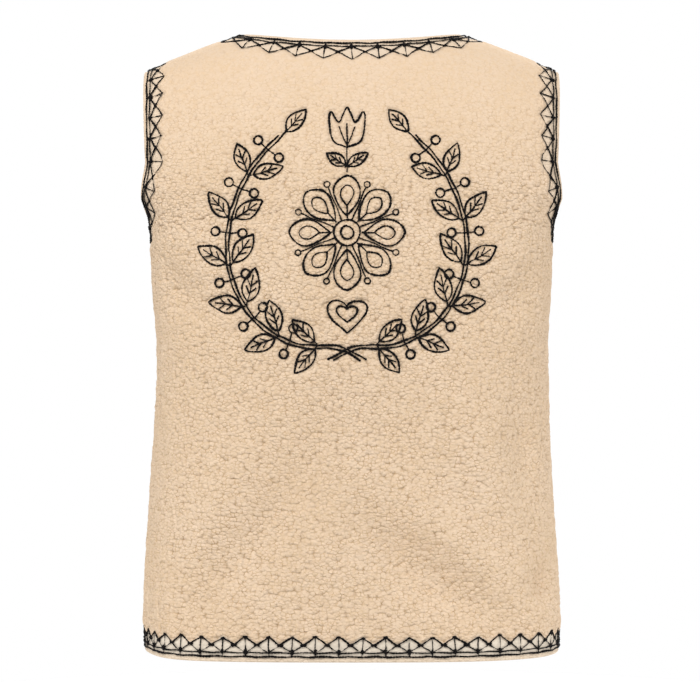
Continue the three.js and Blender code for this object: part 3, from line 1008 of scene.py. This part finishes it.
# Teddy fleece, curly polyester pile: matt and soft, creamy on the curls, with painted shade that colours the
# hollows and thin creases between them tan, and a faint bloom of light at grazing angles. Its pattern is set
# out in the flat cloth's own millimetres.
fleece_finish, tree, surface, place = new_material("curly_teddy_fleece")
laid, pressed, raised = (
    add_node(tree, "ShaderNodeAttribute", attribute_name=label, attribute_type="GEOMETRY").outputs[output]
    for label, output in (("laid", "Vector"), ("pressed", "Fac"), ("raised", "Fac"))
)
curl_height, crease = curl_pattern(tree, laid)
# Painted shade: the hollows between curls and thin broken lines along their creases are coloured darker, as
# if shadowed.
depth = ranged(tree, curl_height, 0.45, -0.1, interpolation_type="SMOOTHSTEP")
line = ranged(tree, crease, 0.14, 0.02, interpolation_type="SMOOTHSTEP")
painted_crease_lines = maths(tree, "MULTIPLY", line, ranged(tree, noise(tree, place, 210.0, 2.0), 0.4, 0.62))
painted_crease_shade = maths(tree, "MULTIPLY_ADD", depth, 0.3, painted_crease_lines, use_clamp=True)
crown = mixed(tree, raised, "D1BAA1", "DEC6AC")
# The curls' colour, darkened with painted shade towards tan B99975 in the hollows and creases.
curl_colour_with_painted_shade = mixed(tree, maths(tree, "MULTIPLY", painted_crease_shade, raised), crown, "B99975")
patches = ranged(tree, noise(tree, place, 16.0, 3.0), 0.35, 0.7, 0.0, 0.3)
mottle = ranged(tree, noise(tree, place, 260.0, 2.0), 0.42, 0.66, 0.0, 0.5)
toned = mixed(tree, maths(tree, "ADD", mottle, patches), curl_colour_with_painted_shade, "D2B695")
relief = maths(tree, "MULTIPLY_ADD", noise(tree, place, 1300.0, 3.0), 0.22, curl_height)
strength = maths(tree, "MULTIPLY_ADD", pressed, -0.5, maths(tree, "MULTIPLY", raised, 0.8), use_clamp=True)
add_shader(tree, surface, {
    "Base Color": mixed(tree, maths(tree, "MULTIPLY", pressed, 0.85), toned, "D6CCBD"),
    "Normal": bumped(tree, relief, strength, 0.0017), "Roughness": 0.95, "IOR": 1.45,
    "Specular IOR Level": 0.12, "Sheen Weight": 0.1, "Sheen Roughness": 0.55,
    "Sheen Tint": linear("FFF3E0")})

# The fleece's reverse: a fine warp knit, brushed once. Flat, matt and a little paler, with 1.3 mm ribs.
reverse_finish, tree, surface, place = new_material("brushed_knit_reverse")
ribs = add_node(tree, "ShaderNodeTexWave", {
    "Vector": place, "Scale": 240.0, "Distortion": 2.5, "Detail": 2.0, "Detail Scale": 3.0})
nap = noise(tree, place, 900.0, 3.0)
relief = maths(tree, "MULTIPLY_ADD", ribs.outputs["Fac"], 0.6, nap)
add_shader(tree, surface, {
    "Base Color": mixed(tree, nap, "D9BF99", "E8D3B2"), "Normal": bumped(tree, relief, 0.4, 0.0004),
    "Roughness": 0.95, "IOR": 1.45, "Specular IOR Level": 0.15, "Sheen Weight": 0.15,
    "Sheen Roughness": 0.6})

back = fleece_piece("fleece_back", back_points, back_normals, back_flats, 21)
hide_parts("back")
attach(back, "root")

# --- The fronts ---------------------------------------------------------------------------------------
# Two mirrored pieces of the same fleece, joined to the back at the shoulder and side seams. They meet
# edge to edge at the centre front, with the same border down each edge and nothing to close them.

for name, points, normals, flats, seed in (
    ("front_left", left_points, left_normals, left_flats, 22),
    ("front_right", right_points, right_normals, right_flats, 23),
):
    front = fleece_piece("fleece_" + name, points, normals, flats, seed)
    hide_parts(name)
    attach(front, "root")

# --- Floor, light and camera --------------------------------------------------------------------------
# A plain pale floor below the hem, soft white light from the horizon, and four long lamps: one high behind
# the vest and one high before it, and a weaker one to each side.

FLOOR_Z = -0.70
CAMERA_DISTANCE = 2.2
VIEW_WIDTH = 0.6475  # what the picture's width takes in at the vest's middle
SENSOR = 36.0
LAMP_LENGTH = 3.0    # long, so that the sides are lit as well as the middle
LAMP_HEIGHT = 0.5

bpy.ops.mesh.primitive_circle_add(vertices=96, radius=0.85, fill_type="NGON", location=(0, 0, FLOOR_Z))
floor = bpy.context.object
floor.name = "floor"
floor_finish, tree, surface, place = new_material("matt_white_board")
board = mixed(tree, noise(tree, place, 40.0, 4.0), "F4F3F1", "F8F7F5")
add_shader(tree, surface, {"Base Color": board, "Roughness": 0.9, "Specular IOR Level": 0.1})
floor.data.materials.append(floor_finish)

world = bpy.data.worlds.new("soft_white_room")
scene.world = world
world.use_nodes = True
sky = world.node_tree
outward = add_node(sky, "ShaderNodeTexCoord").outputs["Generated"]
height = add_node(sky, "ShaderNodeSeparateXYZ", {0: outward}).outputs["Z"]
glow = ranged(sky, maths(sky, "ABSOLUTE", height), 0.16, 0.3, 1.0, 0.28)
background = sky.nodes["Background"]
background.inputs["Color"].default_value = linear("FFFFFF")
sky.links.new(glow, background.inputs["Strength"])

for name, spot, power, length in (
    ("lamp_above", (0.3, 1.7, 1.3), 52.0, LAMP_LENGTH),
    ("lamp_front", (-0.3, -1.7, 1.3), 52.0, LAMP_LENGTH),
    ("lamp_left", (2.0, 0.35, -0.1), 6.0, LAMP_HEIGHT),
    ("lamp_right", (-2.0, 0.35, -0.1), 10.0, LAMP_HEIGHT),
):
    lamp_data = bpy.data.lights.new(name, "AREA")
    lamp_data.shape = "RECTANGLE"
    lamp_data.size = length
    lamp_data.size_y = LAMP_HEIGHT
    lamp_data.energy = power
    lamp = bpy.data.objects.new(name, lamp_data)
    lamp.location = spot
    lamp.rotation_euler = (Vector((0, 0, -0.25)) - Vector(spot)).to_track_quat("-Z", "Y").to_euler()
    scene.collection.objects.link(lamp)

camera_data = bpy.data.cameras.new("camera")
camera_data.sensor_width = SENSOR
camera_data.lens = SENSOR * CAMERA_DISTANCE / VIEW_WIDTH
camera = bpy.data.objects.new("camera", camera_data)
camera.location = (0.0014, CAMERA_DISTANCE, -0.2895)
camera.rotation_euler = (math.pi / 2, 0, math.pi)
scene.collection.objects.link(camera)
scene.camera = camera
scene.view_settings.view_transform = "Standard"
